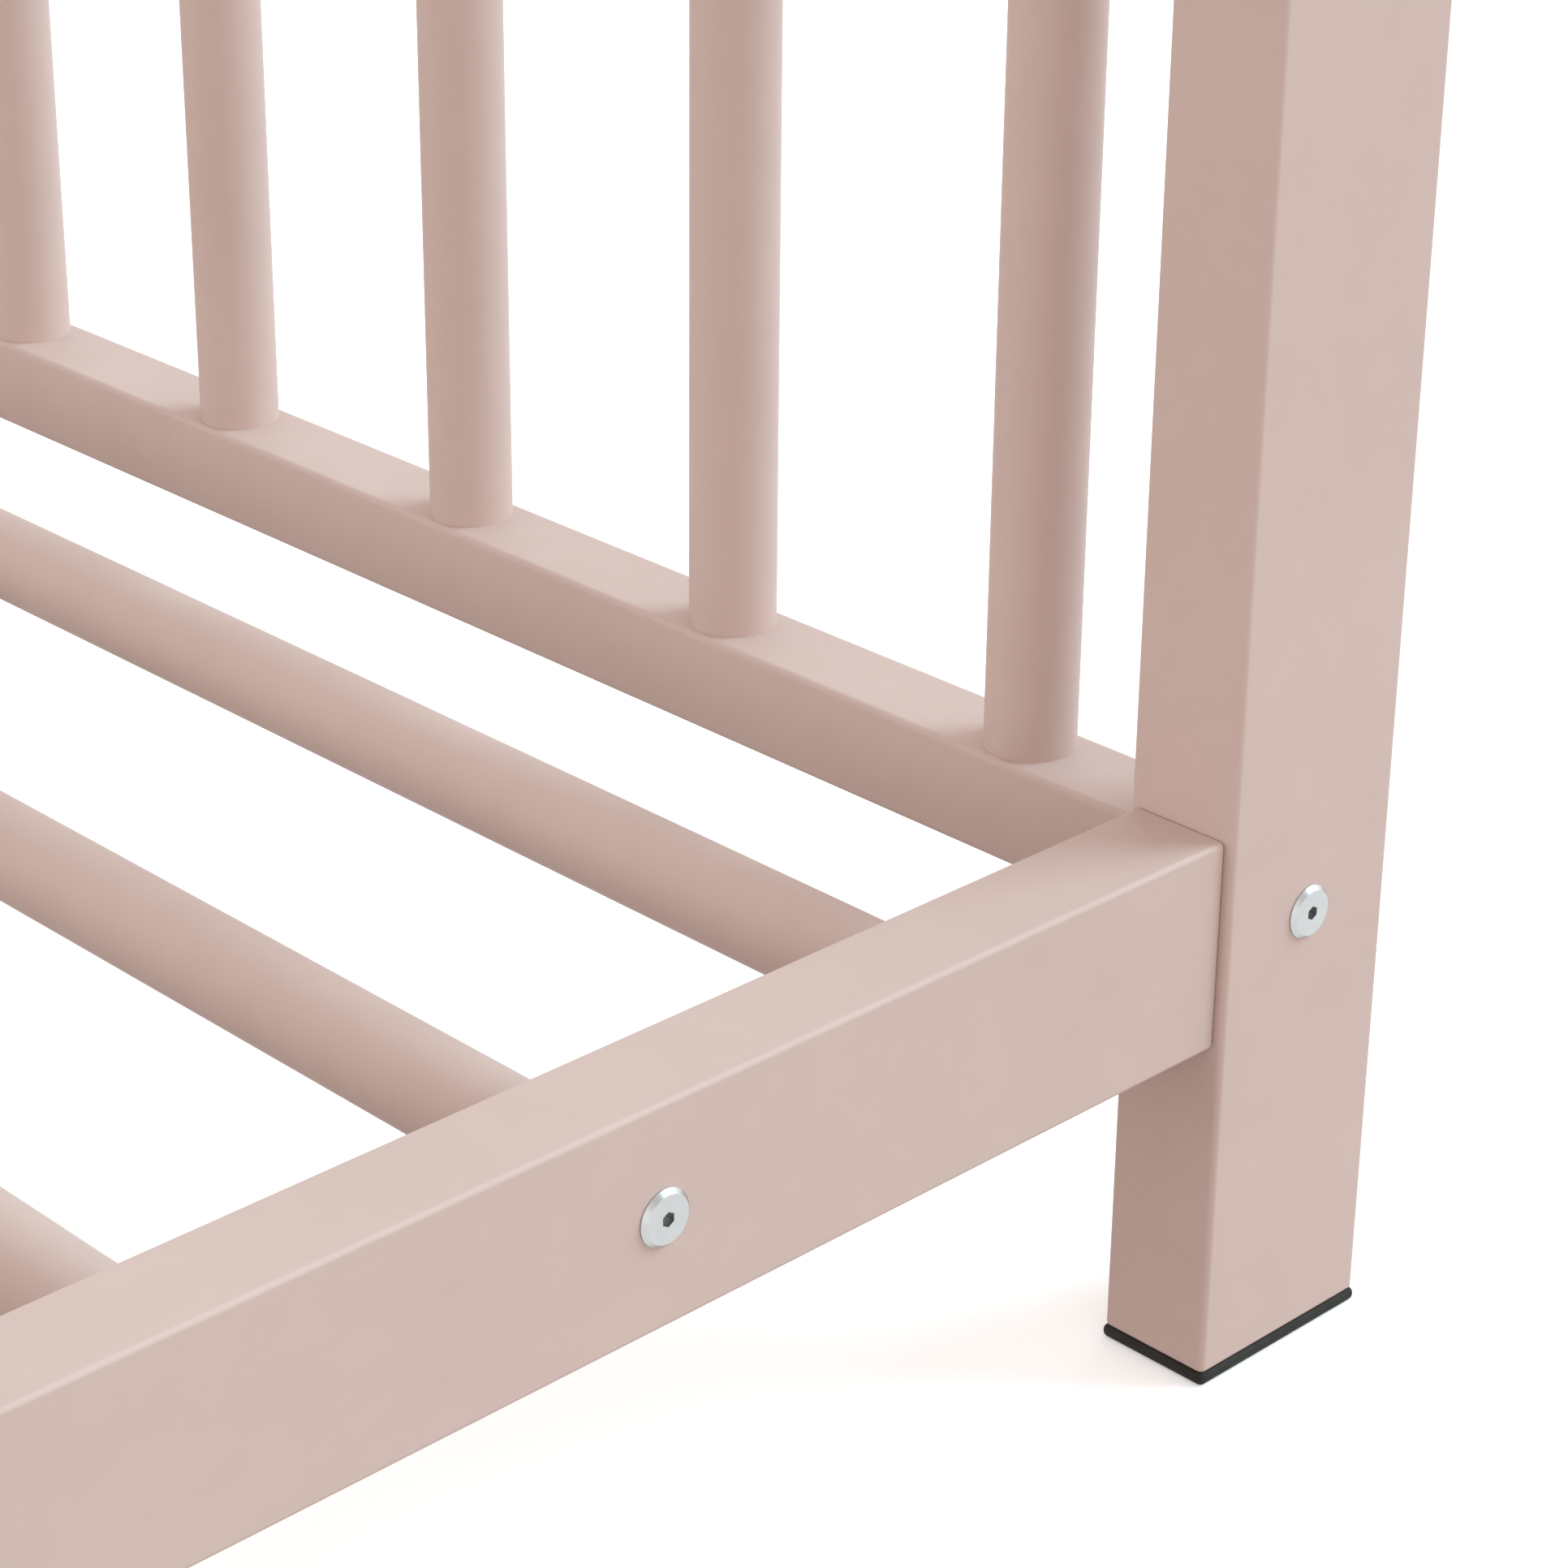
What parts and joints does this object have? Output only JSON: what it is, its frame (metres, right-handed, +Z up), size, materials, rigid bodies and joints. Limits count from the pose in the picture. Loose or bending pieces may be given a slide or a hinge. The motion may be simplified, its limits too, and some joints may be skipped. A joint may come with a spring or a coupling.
{
  "type": "toddler bed",
  "caption": "Low toddler bed of powder-coated steel tube: spindled end panels on corner posts, bolted side rails and a base of round cross slats.",
  "frame": {"origin": "on the floor, at the middle of the bed's length and width", "axes": "+X along the length to the foot end, +Y across the bed to its back side, +Z up"},
  "size_m": [1.4868, 0.789, 0.6],
  "materials": {
    "pink_coat": "dusty pink powder coat, satin",
    "black_plastic": "moulded black polyethylene, fine grain",
    "pink_plastic": "moulded plastic, coloured to match the coat",
    "zinc_plate": "bright zinc plated, machined face",
    "bare_steel": "plain rolled steel"
  },
  "bodies": {
    "root": {"post_head_front": "pink_coat", "post_head_back": "pink_coat", "post_foot_front": "pink_coat", "post_foot_back": "pink_coat", "side_rail_front": "pink_coat", "side_rail_back": "pink_coat", "lower_cross_rail_head": "pink_coat", "lower_cross_rail_foot": "pink_coat", "upper_cross_rail_head": "pink_coat", "upper_cross_rail_foot": "pink_coat", "spindle_head_1": "pink_coat", "spindle_head_2": "pink_coat", "spindle_head_3": "pink_coat", "spindle_head_4": "pink_coat", "spindle_head_5": "pink_coat", "spindle_head_6": "pink_coat", "spindle_head_7": "pink_coat", "spindle_foot_1": "pink_coat", "spindle_foot_2": "pink_coat", "spindle_foot_3": "pink_coat", "spindle_foot_4": "pink_coat", "spindle_foot_5": "pink_coat", "spindle_foot_6": "pink_coat", "spindle_foot_7": "pink_coat", "slat_01": "pink_coat", "slat_02": "pink_coat", "slat_03": "pink_coat", "slat_04": "pink_coat", "slat_05": "pink_coat", "slat_06": "pink_coat", "slat_07": "pink_coat", "slat_08": "pink_coat", "slat_09": "pink_coat", "slat_10": "pink_coat", "slat_11": "pink_coat", "slat_12": "pink_coat", "slat_13": "pink_coat", "foot_plug_head_front": "black_plastic", "foot_plug_head_back": "black_plastic", "foot_plug_foot_front": "black_plastic", "foot_plug_foot_back": "black_plastic", "top_cap_head_front": "pink_plastic", "top_cap_head_back": "pink_plastic", "top_cap_foot_front": "pink_plastic", "top_cap_foot_back": "pink_plastic", "cross_rail_bolts": "zinc_plate", "side_rail_bolts": "zinc_plate", "slat_bolts": "zinc_plate", "cross_rail_end_plugs": "bare_steel", "side_rail_end_plates": "bare_steel", "slat_end_plugs": "bare_steel"}
  },
  "joints": []
}
